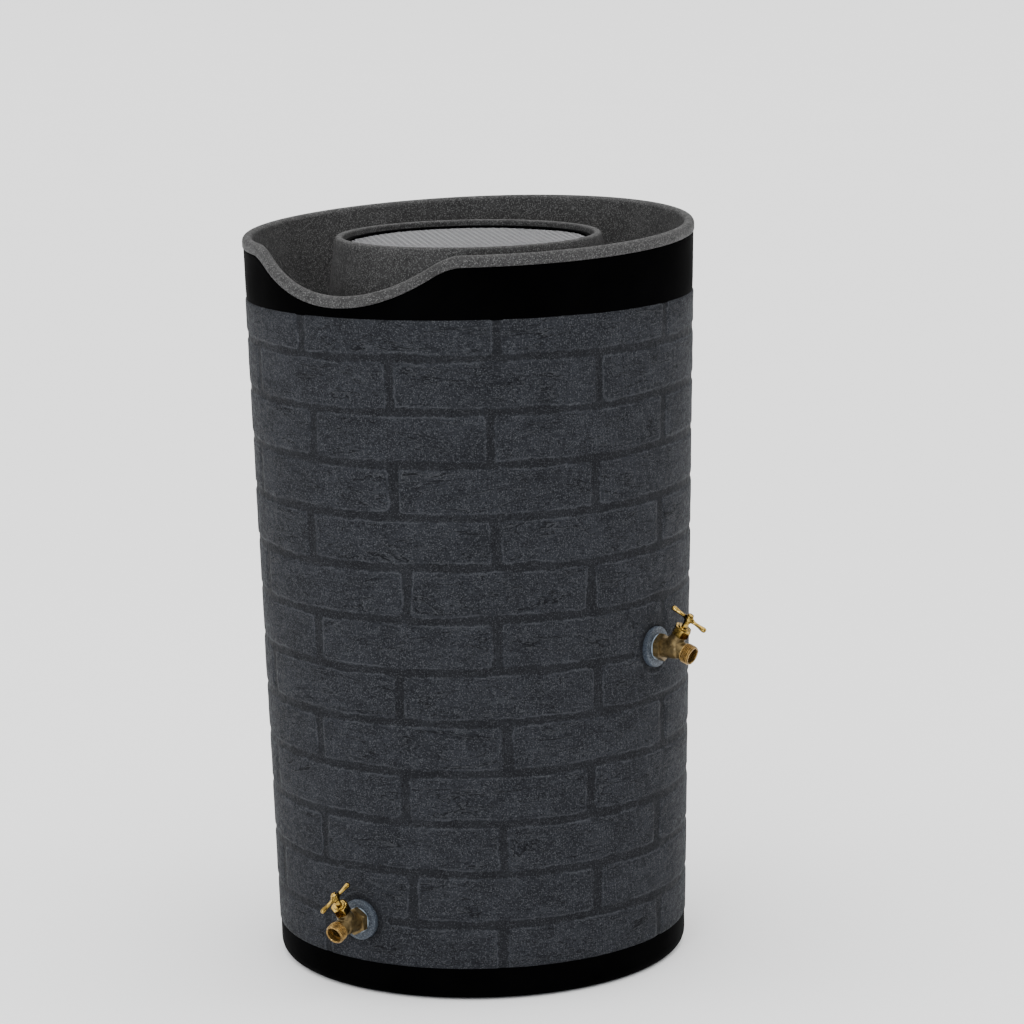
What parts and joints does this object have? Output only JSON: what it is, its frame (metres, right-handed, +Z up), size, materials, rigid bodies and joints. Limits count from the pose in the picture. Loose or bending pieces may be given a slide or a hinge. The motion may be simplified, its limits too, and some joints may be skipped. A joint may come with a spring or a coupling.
{
  "type": "rain barrel",
  "caption": "Tapered plastic water barrel in a brick-pattern sleeve, with a lift-off planter ring, a screened inlet, tee-handled hose bibbs and an overflow outlet.",
  "frame": {"origin": "centre of the flat underside of the foot, on the barrel's axis", "axes": "+Z up along the barrel's axis; -Y towards the front, where the rim dips and the lower bibb is; +X towards the upper bibb; the overflow is on +Y"},
  "size_m": [0.6654, 0.6899, 1.0006],
  "materials": {
    "black_plastic": "smooth black polyethylene, satin",
    "brick_granite": "dark grey polyethylene with fine light and dark granite flecks, moulded brick relief",
    "planter_granite": "grey granite-flecked polyethylene, matt",
    "pad_granite": "blue-grey granite-flecked polyethylene, matt",
    "white_plastic": "white plastic washer",
    "cast_brass": "dull tumbled cast brass, threads machined",
    "bright_brass": "machined and polished brass",
    "black_rubber": "black moulded rubber",
    "screen_wire": "woven stainless wire"
  },
  "bodies": {
    "barrel": {"tank_shell": "black_plastic", "brick_sleeve": "brick_granite", "lower_spigot_pad": "pad_granite", "lower_seal_washer": "white_plastic", "lower_valve_body": "cast_brass", "lower_inner_gasket": "black_rubber", "lower_locknut": "cast_brass", "lower_bonnet_nut": "bright_brass", "lower_packing_ring": "black_rubber", "upper_spigot_pad": "pad_granite", "upper_seal_washer": "white_plastic", "upper_valve_body": "cast_brass", "upper_inner_gasket": "black_rubber", "upper_locknut": "cast_brass", "upper_bonnet_nut": "bright_brass", "upper_packing_ring": "black_rubber", "overflow_spout": "black_plastic", "overflow_gasket": "black_rubber", "overflow_locknut": "black_plastic"},
    "planter": {"planter_ring": "planter_granite"},
    "screen": {"screen_frame": "black_plastic", "screen_mesh": "screen_wire"},
    "lower_washer": {"lower_seat_washer": "black_rubber", "lower_seat_washer_screw": "bright_brass"},
    "lower_handle": {"lower_stem": "bright_brass", "lower_tee_handle": "bright_brass", "lower_handle_screw": "bright_brass"},
    "upper_washer": {"upper_seat_washer": "black_rubber", "upper_seat_washer_screw": "bright_brass"},
    "upper_handle": {"upper_stem": "bright_brass", "upper_tee_handle": "bright_brass", "upper_handle_screw": "bright_brass"}
  },
  "joints": [
    {"name": "planter_lift", "type": "slide", "parent": "barrel", "child": "planter", "axis": [0, 0, 1], "range_m": [0, 0.2]},
    {"name": "screen_lift", "type": "slide", "parent": "planter", "child": "screen", "axis": [0, 0, 1], "range_m": [0, 0.08]},
    {"name": "lower_stem_rise", "type": "slide", "parent": "barrel", "child": "lower_washer", "axis": [0, -0.5446, 0.8387], "range_m": [0, 0.0045]},
    {"name": "lower_handle_turn", "type": "hinge", "parent": "lower_washer", "child": "lower_handle", "pos_m": [0, -0.30431, 0.1], "axis": [0, -0.5446, 0.8387], "range_deg": [0, 810]},
    {"name": "upper_stem_rise", "type": "slide", "parent": "barrel", "child": "upper_washer", "axis": [0.5446, 0, 0.8387], "range_m": [0, 0.0045]},
    {"name": "upper_handle_turn", "type": "hinge", "parent": "upper_washer", "child": "upper_handle", "pos_m": [0.31237, 0, 0.445], "axis": [0.5446, 0, 0.8387], "range_deg": [0, 810]}
  ],
  "couplings": [
    {"joint": "lower_stem_rise", "follows": "lower_handle_turn", "m_per_rad": 0.000318},
    {"joint": "upper_stem_rise", "follows": "upper_handle_turn", "m_per_rad": 0.000318}
  ]
}
